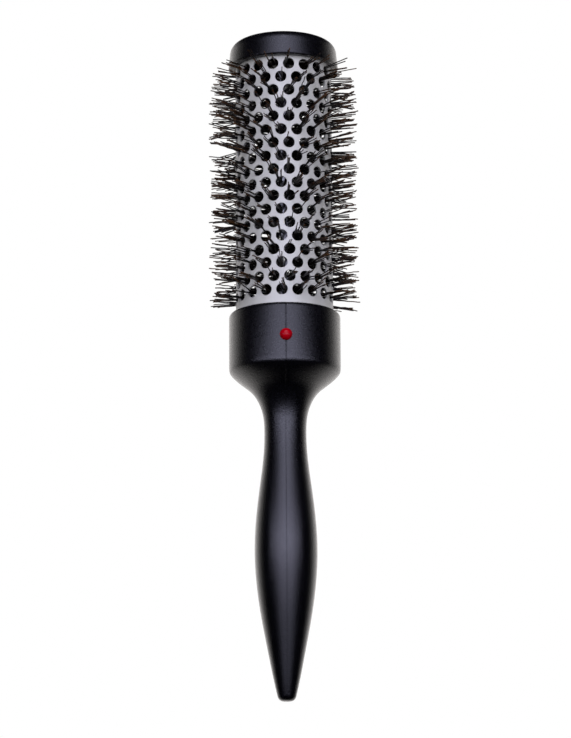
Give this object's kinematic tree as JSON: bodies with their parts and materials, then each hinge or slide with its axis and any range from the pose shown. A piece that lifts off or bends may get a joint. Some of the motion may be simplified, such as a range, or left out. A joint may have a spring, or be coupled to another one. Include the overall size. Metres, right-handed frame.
{
  "type": "round barrel brush",
  "caption": "Round hair styling brush: staggered bristles through a perforated metal barrel on a waisted moulded handle.",
  "frame": {"origin": "tip of the tail, on the brush's axis", "axes": "+Z along the brush's axis from the tail to the end cap, -Y through the red stud and the handle's parting line"},
  "size_m": [0.0504, 0.0504, 0.2274],
  "materials": {
    "handle_plastic": "satin, fine moulded grain",
    "cap_plastic": "satin, fine moulded grain",
    "red_plastic": "gloss",
    "barrel_metal": "satin ceramic-like coating",
    "core_steel": "plain drawn wire",
    "nylon_bristle": "crimped filament"
  },
  "bodies": {
    "root": {"handle_left": "handle_plastic", "handle_right": "handle_plastic", "end_cap": "cap_plastic", "red_stud": "red_plastic", "barrel": "barrel_metal", "core_wire_a": "core_steel", "core_wire_b": "core_steel", "bristle_row_01": "nylon_bristle", "bristle_row_02": "nylon_bristle", "bristle_row_03": "nylon_bristle", "bristle_row_04": "nylon_bristle", "bristle_row_05": "nylon_bristle", "bristle_row_06": "nylon_bristle", "bristle_row_07": "nylon_bristle", "bristle_row_08": "nylon_bristle", "bristle_row_09": "nylon_bristle", "bristle_row_10": "nylon_bristle", "bristle_row_11": "nylon_bristle", "bristle_row_12": "nylon_bristle", "bristle_row_13": "nylon_bristle", "bristle_row_14": "nylon_bristle", "bristle_row_15": "nylon_bristle", "bristle_row_16": "nylon_bristle", "bristle_row_17": "nylon_bristle", "bristle_row_18": "nylon_bristle"}
  },
  "joints": []
}
